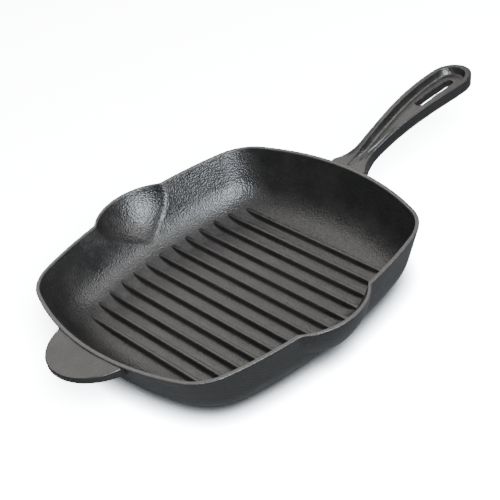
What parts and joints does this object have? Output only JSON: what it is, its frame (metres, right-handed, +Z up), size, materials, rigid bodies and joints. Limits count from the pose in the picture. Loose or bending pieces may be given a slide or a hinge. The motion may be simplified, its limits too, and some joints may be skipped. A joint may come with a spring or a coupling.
{
  "type": "square cast iron grill skillet",
  "caption": "Square cast iron grill skillet with a ridged cooking floor, two pour lips, a long handle with a thumb channel and hanging slot, and a helper tab.",
  "frame": {"origin": "centre of the bowl's flat underside, on the surface the pan stands on", "axes": "+X towards the long handle, -X towards the helper tab, pour lips on +Y and -Y, +Z up out of the bowl"},
  "size_m": [0.4345, 0.287, 0.0668],
  "materials": {
    "seasoned_iron": "oil-seasoned black iron with a fine sand-cast grain"
  },
  "bodies": {
    "root": {"pan_body": "seasoned_iron", "long_handle": "seasoned_iron", "helper_tab": "seasoned_iron", "grill_ridge_01": "seasoned_iron", "grill_ridge_02": "seasoned_iron", "grill_ridge_03": "seasoned_iron", "grill_ridge_04": "seasoned_iron", "grill_ridge_05": "seasoned_iron", "grill_ridge_06": "seasoned_iron", "grill_ridge_07": "seasoned_iron", "grill_ridge_08": "seasoned_iron", "grill_ridge_09": "seasoned_iron", "grill_ridge_10": "seasoned_iron", "grill_ridge_11": "seasoned_iron", "grill_ridge_12": "seasoned_iron", "grill_ridge_13": "seasoned_iron"}
  },
  "joints": []
}
